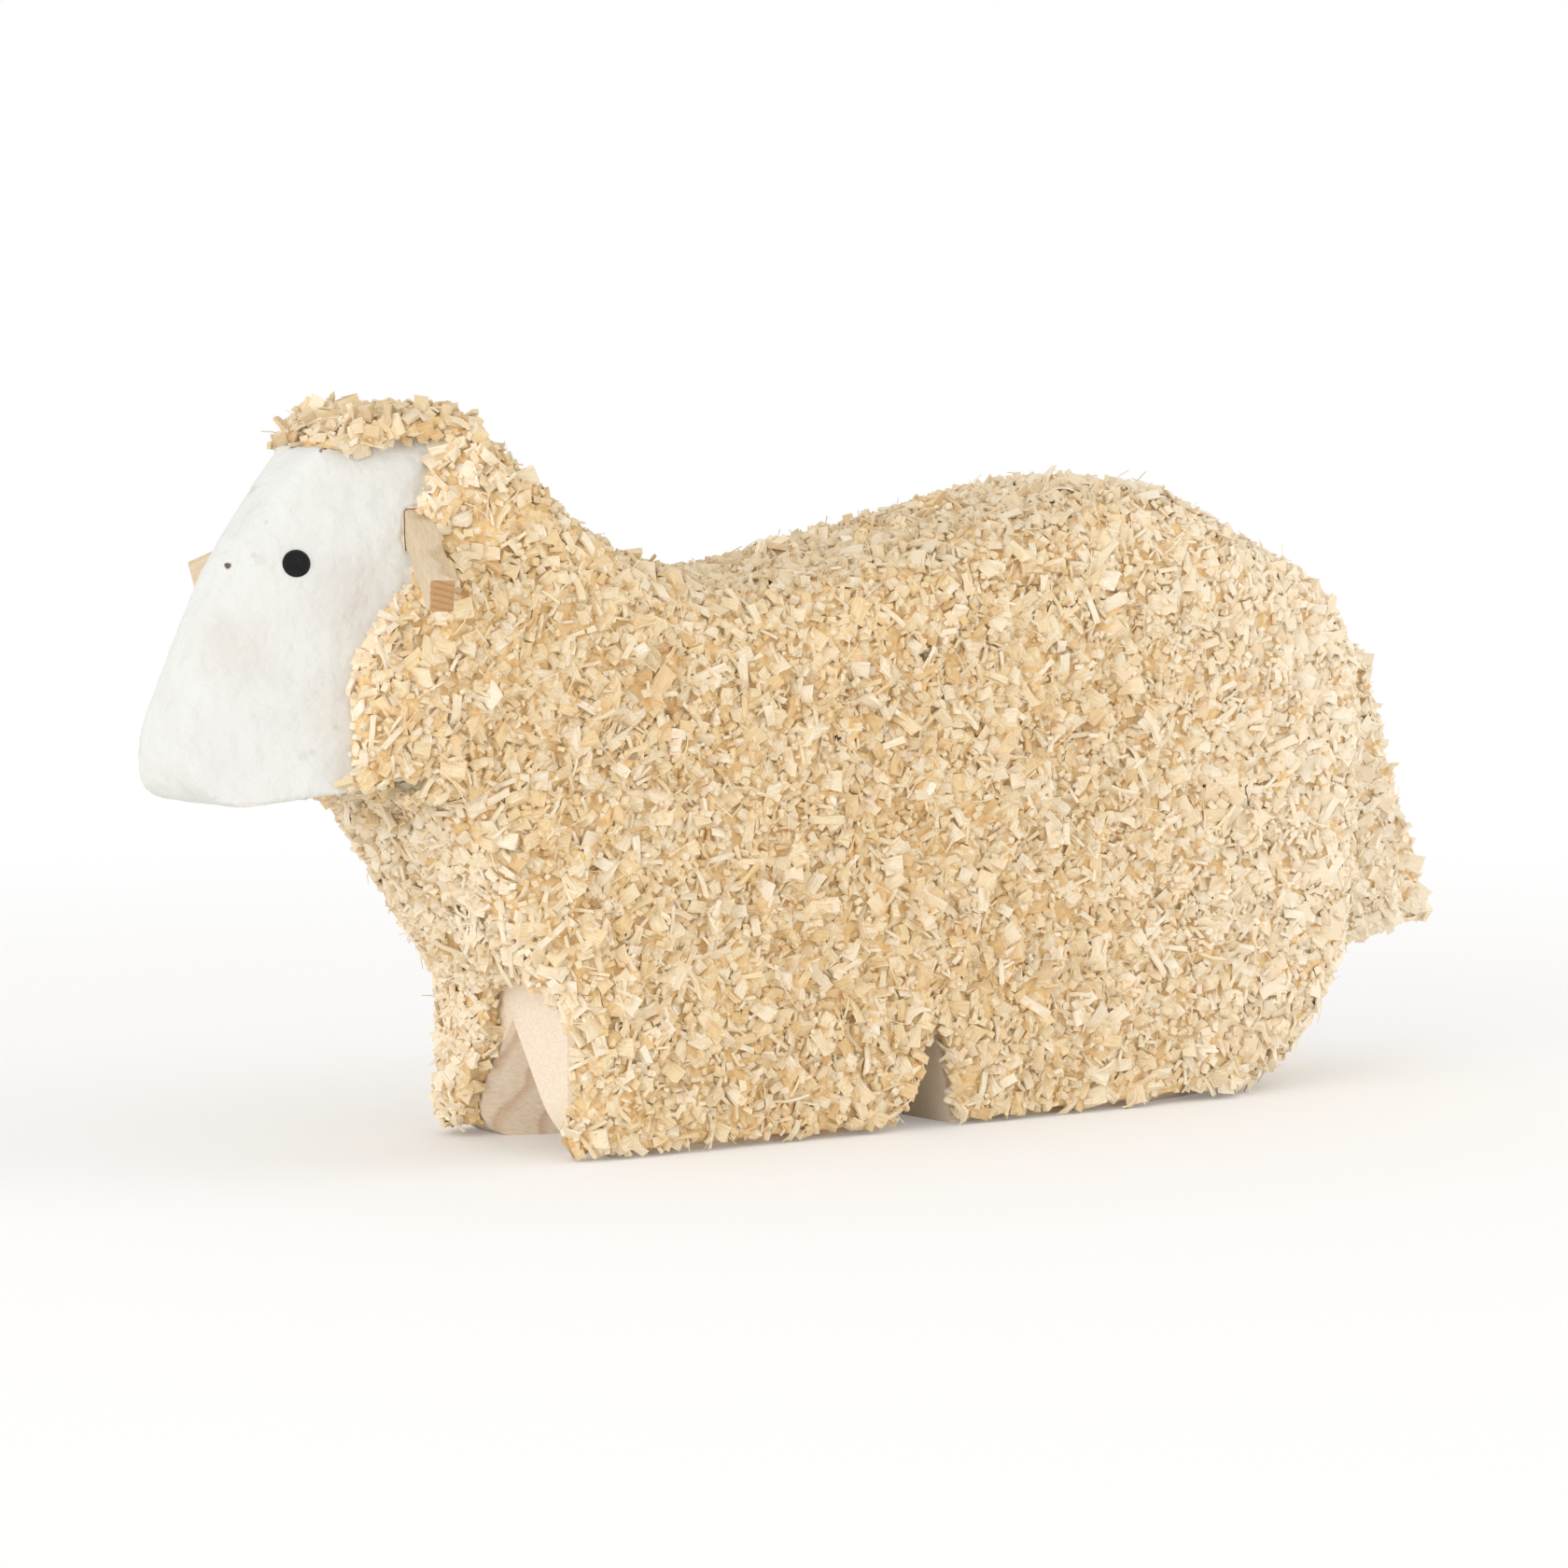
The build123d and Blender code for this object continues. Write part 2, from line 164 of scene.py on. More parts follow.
def raw_wood(name, coords_of, pale, ring, across, pitch):
    """Raw softwood: growth rings that follow each other in one direction, with fibres along X.

    Faces that look ahead are rasped smooth, and show no rings.
    """
    material, tree = new_material(name)
    coords = coords_of(tree)
    waver = put(tree, "ShaderNodeTexNoise", {"Vector": coords, "Scale": 260, "Detail": 2})
    depth = put(tree, "ShaderNodeVectorMath", {0: coords, 1: across}, operation="DOT_PRODUCT")
    years = put(
        tree,
        "ShaderNodeMath",
        {0: depth.outputs["Value"], 1: 1 / pitch},
        operation="MULTIPLY",
    ).outputs[0]
    bent = put(
        tree,
        "ShaderNodeMath",
        {0: waver.outputs["Fac"], 1: 1.6, 2: years},
        operation="MULTIPLY_ADD",
    ).outputs[0]
    season = put(tree, "ShaderNodeMath", {0: bent}, operation="FRACT").outputs[0]
    stretched = put(tree, "ShaderNodeMapping", {"Vector": coords, "Scale": (900, 9000, 9000)}).outputs[0]
    fibres = put(tree, "ShaderNodeTexNoise", {"Vector": stretched, "Scale": 1, "Detail": 4, "Roughness": 0.6})
    rings = ramp(tree, season, [(0.0, pale), (0.55, pale), (0.88, ring), (1.0, pale)])
    looks = put(tree, "ShaderNodeSeparateXYZ", {0: put(tree, "ShaderNodeNewGeometry").outputs["True Normal"]})
    rasped = put(
        tree,
        "ShaderNodeMapRange",
        {"Value": looks.outputs["X"], "From Min": -0.6, "From Max": -0.85},
    )
    colour = blend(tree, rasped.outputs[0], rings, tint(pale))
    shade = ramp(tree, fibres.outputs["Fac"], [(0.3, (238, 232, 226)), (0.62, (255, 255, 255))])
    bump = put(
        tree,
        "ShaderNodeBump",
        {"Height": fibres.outputs["Fac"], "Strength": 0.5, "Distance": 0.08 * MM},
    )
    finish_on(tree, times(tree, colour, shade), 0.72, 0.25, bump.outputs[0])
    return material


def object_coords(tree):
    """Places in the object's own frame."""
    return put(tree, "ShaderNodeTexCoord").outputs["Object"]


def grain_coords(tree):
    """Places along and across the fibres of a sliver, which its mesh carries."""
    return put(tree, "ShaderNodeAttribute", attribute_name="grain").outputs["Vector"]


def dress(node, material):
    """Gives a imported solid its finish."""
    node.data.materials.clear()
    node.data.materials.append(material)


body_wood = raw_wood("body_wood", object_coords, WOOD_PALE, WOOD_RING, WOOD_ACROSS, RING_PITCH)
dress(nodes["wooden_body"], body_wood)


# The tail's core is a wedge of the same softwood, glued to the flat of the rump and hidden by its coat.
# Its glue face lies on the rump.
dress(nodes["tail_wedge"], body_wood)


# The ears are square slivers, split along the grain and glued into sockets in the head.
# They are a browner wood than the body, with dark end grain at the tip and soft, worn edges.
EAR_RUN = Vector((-2.9, 6.7, -2.8)).normalized()
EAR_EDGE = 0.14 * MM
EAR_ROUGH = 0.05 * MM
EAR_STEP = 0.4 * MM
EAR_SPLIT = 1.5 * MM
EAR_END_DEEP = 0.3 * MM
EAR_END_FACING = 0.85
EAR_UNLIKE = 9 * MM

ear_wood = raw_wood("ear_wood", grain_coords, (221, 202, 174), (204, 179, 145), (0, 0.3, 0.95), 0.8 * MM)
ear_end = raw_wood("ear_end", grain_coords, (198, 158, 112), (176, 134, 90), (0, 0.3, 0.95), 0.3 * MM)


def piece(name, mesh, material):
    """A finished piece of the object: it sits at the origin and moves with the whole figure."""
    made = bpy.data.objects.new(name, mesh)
    bpy.context.scene.collection.objects.link(made)
    mesh.materials.clear()
    mesh.materials.append(material)
    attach(made, "root")
    return made


def merged_copy(node):
    """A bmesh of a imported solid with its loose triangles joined."""
    copy = bmesh.new()
    copy.from_mesh(node.data)
    bmesh.ops.remove_doubles(copy, verts=copy.verts, dist=0.001 * MM)
    return copy


def split_long(shape, longest):
    """Halves the edges of a shape until none is longer than asked."""
    for _ in range(8):
        edges = [edge for edge in shape.edges if edge.calc_length() > longest]
        if not edges:
            break
        bmesh.ops.subdivide_edges(shape, edges=edges, cuts=1)
        bmesh.ops.triangulate(shape, faces=[face for face in shape.faces if len(face.verts) > 4])


for name, side in (("ear_left", -1), ("ear_right", 1)):
    run = Vector((EAR_RUN.x, EAR_RUN.y * side, EAR_RUN.z))
    level = Vector((run.y, -run.x, 0)).normalized()
    rise = run.cross(level)
    sliver = merged_copy(nodes[name])
    bmesh.ops.dissolve_limit(sliver, angle_limit=0.02, verts=sliver.verts, edges=sliver.edges)
    bmesh.ops.bevel(
        sliver,
        geom=sliver.edges[:],
        offset=EAR_EDGE,
        offset_type="OFFSET",
        affect="EDGES",
        segments=2,
        profile=0.5,
        material=-1,
    )
    split_long(sliver, EAR_STEP)
    grain = sliver.verts.layers.float_vector.new("grain")
    tip = max(vert.co.dot(run) for vert in sliver.verts)
    sliver.normal_update()
    for vert in sliver.verts:
        vert[grain] = (vert.co.dot(run), vert.co.dot(level), vert.co.dot(rise) + EAR_UNLIKE * side)
        split = noise.noise(Vector(vert[grain]) / EAR_SPLIT)
        vert.co += vert.normal * (EAR_ROUGH * split)
    for face in sliver.faces:
        face.smooth = True
    mesh = bpy.data.meshes.new(name + "_sliver")
    sliver.to_mesh(mesh)
    sliver.free()
    made = piece(name + "_sliver", mesh, ear_wood)
    mesh.materials.append(ear_end)
    for face in mesh.polygons:
        at_tip = face.center.dot(run) > tip - EAR_END_DEEP
        face.material_index = int(at_tip and face.normal.dot(run) > EAR_END_FACING)
    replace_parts(made, name)


# White paint, brushed thickly over the carved face and jaw before the fleece is glued on.
# It dries satin, with soft lumps, fine pits and a few specks of dirt, and softens the carved edges. Faint
# pinkish patches of painted shade lie on the cheek near the fleece and ear.
PAINT_WHITE = (225, 225, 220)
PAINT_WORN = (221, 220, 215)
PAINT_GRAIN = 0.2 * MM
NECK_CUT = -22.0 * MM
PAINT_THICK = 0.1 * MM
PAINT_LUMPS = ((1.8 * MM, 0.05 * MM), (0.7 * MM, 0.03 * MM))
PAINT_EASE = 20
PAINT_LEAST = 0.07 * MM
PAINT_NEAR = 0.12 * MM
WOOD_NEAR = 0.1 * MM
FACE_OUT = Vector((-0.863, 0, 0.505))
FACE_MIDDLE = Vector((-35.4, 0, 28.8)) * MM
FACE_SWELL = 0.5 * MM
FACE_REACH = 5.5 * MM

# Where the paint ends and the fleece begins on each cheek: height, then place along the head
CHEEK_LINE = [
    (18.9, -32.3), (20.0, -32.0), (22.2, -31.7), (23.9, -31.5), (24.9, -31.4), (25.6, -31.0), (26.5, -30.1),
    (27.4, -29.5), (28.1, -28.9), (28.6, -28.1), (30.0, -27.9), (31.5, -27.7), (33.2, -27.2), (35.0, -26.6),
]
UNDER_FLEECE = 1.0
SOCKET_DEEP = 3.7 * MM

# Each speck of dirt: its place, radius and colour
SPECKS = [
    ((-35.96, -1.06, 29.42), 0.24, (116, 98, 90)),
    ((-34.67, -1.93, 29.68), 0.40, (247, 246, 245)),
    ((-34.90, -1.70, 29.90), 0.22, (243, 241, 239)),
    ((-33.38, 0.98, 32.90), 0.42, (240, 239, 238)),
    ((-33.99, -4.62, 20.46), 0.34, (248, 246, 243)),
    ((-33.56, -4.76, 20.63), 0.24, (245, 242, 239)),
    ((-34.12, -1.53, 31.43), 0.20, (246, 244, 242)),
    ((-32.38, -4.97, 21.75), 0.20, (246, 244, 241)),
]
# Each faint pinkish patch of painted shade, where the ear and the fleece shade the cheek near its border and
# along the edge of the face's front: its place, radius and colour
SHADE_PATCHES = [
    ((-36.2, -2.3, 25.6), 3.0, (252, 248, 246)),
    ((-30.8, -4.1, 27.6), 3.4, (246, 241, 239)),
    ((-31.6, -5.2, 22.5), 3.8, (247, 242, 238)),
]
# How far the marks' edges are shaken, and the share of the radius that has the full colour
MARK_SHAKE = 0.3 * MM
SPECK_FULL = 0.5
SHADE_PATCH_FULL = 0.0


def eased(tree, value, start, end, low=0.0, high=1.0):
    """A value that goes smoothly from low at the start of a range to high at its end."""
    made = put(
        tree,
        "ShaderNodeMapRange",
        {"Value": value, "From Min": start, "From Max": end, "To Min": low, "To Max": high},
        interpolation_type="SMOOTHSTEP",
    )
    return made.outputs[0]


paint_white, tree = new_material("paint_white")
coords = object_coords(tree)
clouds = put(tree, "ShaderNodeTexNoise", {"Vector": coords, "Scale": 320, "Detail": 3})
colour = ramp(tree, clouds.outputs["Fac"], [(0.35, PAINT_WORN), (0.52, PAINT_WHITE)])
ripple = put(tree, "ShaderNodeTexNoise", {"Vector": coords, "Scale": 2600, "Detail": 3})
shaken = put(
    tree,
    "ShaderNodeVectorMath",
    {0: ripple.outputs["Color"], 1: (MARK_SHAKE,) * 3, 2: coords},
    operation="MULTIPLY_ADD",
).outputs[0]
# Multiplied into the white: specks of dirt, and pinkish patches of painted shade
for full, spots in ((SPECK_FULL, SPECKS), (SHADE_PATCH_FULL, SHADE_PATCHES)):
    for place, radius, mark in spots:
        centre = Vector(place) * MM + Vector((MARK_SHAKE / 2,) * 3)
        off = put(tree, "ShaderNodeVectorMath", {0: shaken, 1: centre}, operation="DISTANCE").outputs["Value"]
        near = eased(tree, off, radius * MM * full, radius * MM)
        colour = times(tree, colour, ramp(tree, near, [(0.0, mark), (1.0, (255, 255, 255))]))
dabs = put(tree, "ShaderNodeTexNoise", {"Vector": coords, "Scale": 1100, "Detail": 2, "Roughness": 0.4})
lumps = put(tree, "ShaderNodeBump", {"Height": dabs.outputs["Fac"], "Strength": 0.7, "Distance": 0.22 * MM})
bump = put(
    tree,
    "ShaderNodeBump",
    {"Height": ripple.outputs["Fac"], "Strength": 0.6, "Distance": 0.1 * MM, "Normal": lumps.outputs[0]},
)
finish_on(tree, colour, 0.55, 0.25, bump.outputs[0])


def baked_mesh(draft):
    """The mesh that a draft object's modifiers make. The draft is thrown away."""
    depsgraph = bpy.context.evaluated_depsgraph_get()
    mesh = bpy.data.meshes.new_from_object(
        draft.evaluated_get(depsgraph), preserve_all_data_layers=True, depsgraph=depsgraph
    )
    bpy.data.objects.remove(draft)
    return mesh


def regrained(name, shape, grain, cutters=()):
    """A shape, less its cutters, rebuilt with small even faces."""
    mesh = bpy.data.meshes.new(name)
    shape.to_mesh(mesh)
    shape.free()
    draft = bpy.data.objects.new(name + "_draft", mesh)
    bpy.context.scene.collection.objects.link(draft)
    for cutter in cutters:
        cut = draft.modifiers.new("cut", "BOOLEAN")
        cut.operation = "DIFFERENCE"
        cut.object = cutter
    voxels = draft.modifiers.new("grain", "REMESH")
    voxels.mode = "VOXEL"
    voxels.voxel_size = grain
    even = bmesh.new()
    even.from_mesh(baked_mesh(draft))
    even.normal_update()
    return even


def along_line(points, place):
    """The value that a broken line of (place, value) has at a place."""
    for (low, first), (high, second) in zip(points, points[1:]):
        if place <= high:
            return first + (second - first) * max(0.0, place - low) / (high - low)
    return points[-1][1]


shell = merged_copy(nodes["face_paint"])
core = merged_copy(nodes["wooden_body"])
wood_near = BVHTree.FromBMesh(core)
inner = [face for face in shell.faces if wood_near.find_nearest(face.calc_center_median())[3] < WOOD_NEAR]
bmesh.ops.delete(shell, geom=inner, context="FACES")
outside = BVHTree.FromBMesh(shell)
head = core.copy()
bmesh.ops.bisect_plane(
    head,
    geom=head.verts[:] + head.edges[:] + head.faces[:],
    plane_co=(NECK_CUT, 0, 0),
    plane_no=(1, 0, 0),
    clear_outer=True,
)
bmesh.ops.holes_fill(head, edges=[edge for edge in head.edges if edge.is_boundary])
painted = merged_copy(nodes["face_paint"])
mesh = bpy.data.meshes.new("painted")
painted.to_mesh(mesh)
painted.free()
head.from_mesh(mesh)
coat = regrained("face_coat", head, PAINT_GRAIN)
strays = []
for face in coat.faces:
    middle = face.calc_center_median()
    _, normal, _, off = outside.find_nearest(middle)
    on_face = off < PAINT_NEAR and face.normal.dot(normal) > 0.4
    edge = along_line(CHEEK_LINE, middle.z / MM) + UNDER_FLEECE
    on_cheek = abs(face.normal.y) > 0.2 and abs(middle.y) > SOCKET_DEEP
    if not on_face and not (on_cheek and middle.x < edge * MM and middle.z > CHEEK_LINE[0][0] * MM):
        strays.append(face)
bmesh.ops.delete(coat, geom=strays, context="FACES")
inside = [vert for vert in coat.verts if not vert.is_boundary]
for _ in range(PAINT_EASE):
    bmesh.ops.smooth_vert(coat, verts=inside, factor=0.5, use_axis_x=True, use_axis_y=True, use_axis_z=True)
for vert in coat.verts:
    spot, out, _, _ = wood_near.find_nearest(vert.co)
    if (vert.co - spot).dot(out) < PAINT_LEAST:
        vert.co = spot + out * PAINT_LEAST
coat.normal_update()
for vert in coat.verts:
    swell = sum(height * noise.noise(vert.co / size) for size, height in PAINT_LUMPS)
    ahead = max(0.0, vert.normal.dot(FACE_OUT) - 0.6) / 0.4
    swell += ahead * FACE_SWELL * math.exp(-((vert.co - FACE_MIDDLE).length / FACE_REACH) ** 2)
    vert.co += vert.normal * swell
for face in coat.faces:
    face.smooth = True
bmesh.ops.solidify(coat, geom=coat.faces, thickness=PAINT_THICK)
bmesh.ops.recalc_face_normals(coat, faces=coat.faces)
mesh = bpy.data.meshes.new("face_coat")
coat.to_mesh(mesh)
coat.free()
shell.free()
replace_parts(piece("face_coat", mesh, paint_white), "face_paint")


# The eyes are dots of black lacquer, set down on the dry paint with a blunt stick.
# They dry flat and almost even, with a fine skin.
lacquer, tree = new_material("black_lacquer")
skin_marks = put(tree, "ShaderNodeTexNoise", {"Vector": object_coords(tree), "Scale": 3000, "Detail": 3})
colour = ramp(tree, skin_marks.outputs["Fac"], [(0.35, (14, 14, 18)), (0.7, (26, 25, 28))])
bump = put(
    tree,
    "ShaderNodeBump",
    {"Height": skin_marks.outputs["Fac"], "Strength": 0.2, "Distance": 0.05 * MM},
)
finish_on(tree, colour, 0.5, 0.2, bump.outputs[0])
dress(nodes["eye_left"], lacquer)
dress(nodes["eye_right"], lacquer)


# The fleece starts as a bed of glue and sawdust, which covers all of the wood but the face, soles and cuts.
# It is rough, and shows only in the gaps between the chips; its golden tones are darker than the chips' as
# painted shade for those gaps.
# It ends at the paint on the cheeks and leaves a strip of the near foreleg bare.
COAT_THICKNESS = 1.2 * MM
BED_GRAIN = 0.35 * MM
BED_SINK = 0.3 * MM
BED_ROUGH = 0.16 * MM
BED_COARSE = 0.9 * MM
BED_FINE = 0.4 * MM
BED_SHADE_TONES = [(0.3, (228, 187, 128)), (0.55, (238, 207, 155)), (0.75, (244, 221, 177))]
FLOOR_GAP = 0.03 * MM

# The bare strip on the front of the near foreleg, seen from the front, and how far along the leg it runs
STRIP = [
    (-5.2, -1.0), (-5.8, 2.0), (-6.2, 4.0), (-6.2, 6.0), (-5.6, 7.5), (-4.2, 8.5), (-2.0, 8.7), (0.6, 8.2),
    (1.2, 7.2), (1.0, 5.0), (3.2, -1.0),
]
STRIP_RUN = (-23.0, -16.9)
# The front of the outline that keeps the fleece off the cheeks, which ends at the paint's border
CHEEK_FRONT = [(-30.5, -20, 34.6), (-36, -20, 30), (-36, -20, 18.9)]

sawdust, tree = new_material("glued_sawdust")
grains = put(tree, "ShaderNodeTexNoise", {"Vector": object_coords(tree), "Scale": 2600, "Detail": 5})
bump = put(tree, "ShaderNodeBump", {"Height": grains.outputs["Fac"], "Strength": 0.8, "Distance": 0.2 * MM})
# The bed's tones, darker than the chips', are painted shade for the gaps
finish_on(tree, ramp(tree, grains.outputs["Fac"], BED_SHADE_TONES), 0.8, 0.2, bump.outputs[0])


def glue_bed(name, coat, near, cutters=()):
    """The coat's solid, made rough and a little thinner, so that chips stand on it."""
    bed = regrained(name, merged_copy(coat), BED_GRAIN, cutters)
    for vert in bed.verts:
        swell = noise.noise(vert.co / BED_COARSE) + 0.5 * noise.noise(vert.co / BED_FINE)
        outward = max(0.0, vert.normal.dot(near.find_nearest(vert.co)[1]))
        vert.co += vert.normal * (swell * BED_ROUGH - outward * BED_SINK)
        vert.co.z = max(vert.co.z, FLOOR_GAP)
    bed.normal_update()
    mesh = bpy.data.meshes.new(name)
    bed.to_mesh(mesh)
    bed.free()
    made = piece(name, mesh, sawdust)
    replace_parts(made, coat.name)
    return made


def prism(name, corners, run):
    """A cutter: a flat outline, in millimetres, pushed along a run."""
    block = bmesh.new()
    front = block.faces.new([block.verts.new(Vector(corner) * MM) for corner in corners])
    pushed = bmesh.ops.extrude_face_region(block, geom=[front])
    moved = [item for item in pushed["geom"] if isinstance(item, bmesh.types.BMVert)]
    bmesh.ops.translate(block, verts=moved, vec=Vector(run) * MM)
    bmesh.ops.recalc_face_normals(block, faces=block.faces)
    mesh = bpy.data.meshes.new(name)
    block.to_mesh(mesh)
    block.free()
    made = bpy.data.objects.new(name, mesh)
    bpy.context.scene.collection.objects.link(made)
    return made


strip_cut = prism("strip_cut", [(STRIP_RUN[0], y, z) for y, z in STRIP], (STRIP_RUN[1] - STRIP_RUN[0], 0, 0))
cheek_cut = prism("cheek_cut", [(x, -20, z) for z, x in CHEEK_LINE] + CHEEK_FRONT, (0, 40, 0))
body_bed = glue_bed("fleece_bed", nodes["fleece_coat"], wood_near, [strip_cut, cheek_cut])
bpy.data.objects.remove(strip_cut)
bpy.data.objects.remove(cheek_cut)
tail_core = merged_copy(nodes["tail_wedge"])
tail_near = BVHTree.FromBMesh(tail_core)
tail_bed = glue_bed("tail_bed", nodes["tail_fleece"], tail_near)


# The fleece itself: saw chips and plane shavings of pale softwood, strewn on the wet glue and pressed down.
# Small cubes and splinters fill between flat flakes, and shreds, curls and hairs lie on top.
CHIP_TONES = [
    (0.0, (70, 52, 40)),
    (0.0005, (227, 195, 146)),
    (0.15, (240, 215, 172)),
    (0.45, (243, 225, 190)),
    (0.8, (244, 230, 204)),
    (1.0, (247, 237, 217)),
]

# Painted light and shade on the chips: the rump and the faces that look ahead are blended paler as painted
# light, and faces that look up are blended greyer as painted shade
PAINTED_LIGHT = (253, 244, 227)
PAINTED_LIGHT_START = 4 * MM
PAINTED_LIGHT_END = 36 * MM
REAR_LIGHT_SHARE = 0.6
FRONT_LIGHT_SHARE = 0.45
TOP_SHADE = (206, 192, 168)
TOP_SHADE_SHARE = 0.4

chip_wood, tree = new_material("chip_wood")
tone = put(tree, "ShaderNodeAttribute", attribute_name="tone").outputs["Fac"]
stretched = put(tree, "ShaderNodeMapping", {"Vector": grain_coords(tree), "Scale": (1200, 9000, 9000)})
fibres = put(
    tree,
    "ShaderNodeTexNoise",
    {"Vector": stretched.outputs[0], "Scale": 1, "Detail": 3, "Roughness": 0.6},
)
shade = ramp(tree, fibres.outputs["Fac"], [(0.32, (236, 226, 208)), (0.62, (255, 255, 255))])
bump = put(tree, "ShaderNodeBump", {"Height": fibres.outputs["Fac"], "Strength": 0.6, "Distance": 0.05 * MM})
along = put(tree, "ShaderNodeSeparateXYZ", {0: object_coords(tree)}).outputs["X"]
ground_normal = put(tree, "ShaderNodeAttribute", attribute_name="facing").outputs["Vector"]
facing = put(tree, "ShaderNodeSeparateXYZ", {0: ground_normal})
ahead = put(tree, "ShaderNodeMath", {0: facing.outputs["X"], 1: -1}, operation="MULTIPLY").outputs[0]
# Painted light on the rump and on faces that look ahead, painted shade on faces that look up
rear = eased(tree, along, PAINTED_LIGHT_START, PAINTED_LIGHT_END, high=REAR_LIGHT_SHARE)
front = eased(tree, ahead, 0.35, 0.9, high=FRONT_LIGHT_SHARE)
top = eased(tree, facing.outputs["Z"], 0.35, 0.95, high=TOP_SHADE_SHARE)
colour = times(tree, ramp(tree, tone, CHIP_TONES), shade)
for share, painted_tone in ((top, TOP_SHADE), (rear, PAINTED_LIGHT), (front, PAINTED_LIGHT)):
    colour = blend(tree, share, colour, tint(painted_tone))
finish_on(tree, colour, 0.75, 0.1, bump.outputs[0])


def chip_shape(name, seed, size, steps, thick, bend, ragged):
    """One chip, lying flat with its fibres along X: a ragged plate, given its thickness and bent to an arc."""
    draw = random.Random(seed)
    length, width = size
    chip = bmesh.new()
    bmesh.ops.create_grid(chip, x_segments=steps, y_segments=1, size=0.5)
    bmesh.ops.scale(chip, vec=(length, width, 1), verts=chip.verts)
    bmesh.ops.solidify(chip, geom=chip.faces, thickness=thick)
    for vert in chip.verts:
        vert.co.x += draw.uniform(-ragged, ragged) * length
        vert.co.y += draw.uniform(-ragged, ragged) * width
        vert.co.z += draw.uniform(-ragged, ragged) * thick
    grain = chip.verts.layers.float_vector.new("grain")
    for vert in chip.verts:
        vert[grain] = vert.co + Vector((seed, 0, 0)) * MM
    if bend:
        for vert in chip.verts:
            angle = bend * vert.co.x / length
            radius = length / bend + vert.co.z
            vert.co.x = math.sin(angle) * radius
            vert.co.z = math.cos(angle) * radius - length / bend
    bmesh.ops.recalc_face_normals(chip, faces=chip.faces)
    mesh = bpy.data.meshes.new(name)
    chip.to_mesh(mesh)
    chip.free()
    return bpy.data.objects.new(name, mesh)


def chip_heap(name, shapes):
    """A collection of chip shapes for one layer of the fleece."""
    heap = bpy.data.collections.new(name)
    for number, shape in enumerate(shapes):
        size = (shape[0] * MM, shape[1] * MM)
        made = chip_shape(f"{name}_{number}", number + 1, size, shape[2], shape[3] * MM, shape[4], shape[5])
        heap.objects.link(made)
    return heap


# Each shape: length, width, steps along the length, thickness, bend in radians, raggedness
crumbs = chip_heap("crumbs", [
    (0.45, 0.36, 1, 0.30, 0.0, 0.13),
    (0.55, 0.30, 1, 0.20, 0.0, 0.14),
    (0.38, 0.36, 1, 0.26, 0.0, 0.12),
    (0.70, 0.22, 1, 0.14, 0.0, 0.10),
    (0.55, 0.40, 1, 0.16, 0.0, 0.16),
    (0.42, 0.25, 1, 0.24, 0.0, 0.15),
])
flakes = chip_heap("flakes", [
    (1.05, 0.86, 2, 0.24, 0.25, 0.14),
    (1.25, 0.78, 2, 0.20, 0.40, 0.15),
    (0.92, 0.90, 2, 0.32, 0.15, 0.14),
    (1.45, 0.76, 2, 0.18, 0.55, 0.15),
    (0.88, 0.70, 2, 0.44, 0.10, 0.12),
    (1.20, 0.56, 2, 0.26, 0.30, 0.14),
    (1.00, 0.80, 2, 0.50, 0.05, 0.12),
])
needles = chip_heap("needles", [
    (1.10, 0.16, 2, 0.10, 0.5, 0.08),
    (1.35, 0.14, 2, 0.09, 0.8, 0.08),
    (0.95, 0.20, 2, 0.10, 0.3, 0.08),
])
shreds = chip_heap("shreds", [
    (1.9, 0.44, 4, 0.13, 1.1, 0.06),
    (1.6, 0.52, 4, 0.12, 2.0, 0.06),
    (2.2, 0.34, 4, 0.13, 0.5, 0.05),
    (1.5, 0.62, 4, 0.12, 0.9, 0.08),
])
hairs = chip_heap("hairs", [
    (1.7, 0.045, 3, 0.04, 1.0, 0.03),
    (2.2, 0.040, 3, 0.035, 0.6, 0.03),
])
HEAPS = (crumbs, flakes, needles, shreds, hairs)

# Each layer: heap, chips to a square millimetre, least spacing, lift range, lean, size range, tone range
CHIP_LAYERS = [
    (crumbs, 7.0, 0.24, (-0.10, 0.25), 1.4, (0.8, 1.35), (0.0, 0.9)),
    (flakes, 2.6, 0.40, (-0.05, 0.32), 0.7, (0.5, 1.15), (0.01, 1.0)),
    (needles, 0.7, 0.4, (0.05, 0.35), 0.6, (0.7, 1.3), (0.3, 1.0)),
    (shreds, 0.26, 1.0, (0.10, 0.40), 0.5, (0.7, 1.2), (0.4, 1.0)),
    (hairs, 0.25, 0.8, (0.15, 0.50), 0.8, (0.7, 1.2), (0.5, 1.0)),
]
# Chunkier chips that stand up on the top of the head, given only the darker tones as painted shade
FORELOCK_SHADED_LAYERS = [
    (flakes, 1.6, 0.5, (0.15, 0.55), 1.5, (0.65, 1.0), (0.01, 0.35)),
]


def random_value(tree, kind, low, high, seed):
    """A random value for each chip, between two limits."""
    first = {"FLOAT": 2, "FLOAT_VECTOR": 0, "INT": 4}[kind]
    made = put(
        tree,
        "FunctionNodeRandomValue",
        {first: low, first + 1: high, "Seed": seed},
        data_type=kind,
    )
    return made.outputs[{"FLOAT": 1, "FLOAT_VECTOR": 0, "INT": 2}[kind]]


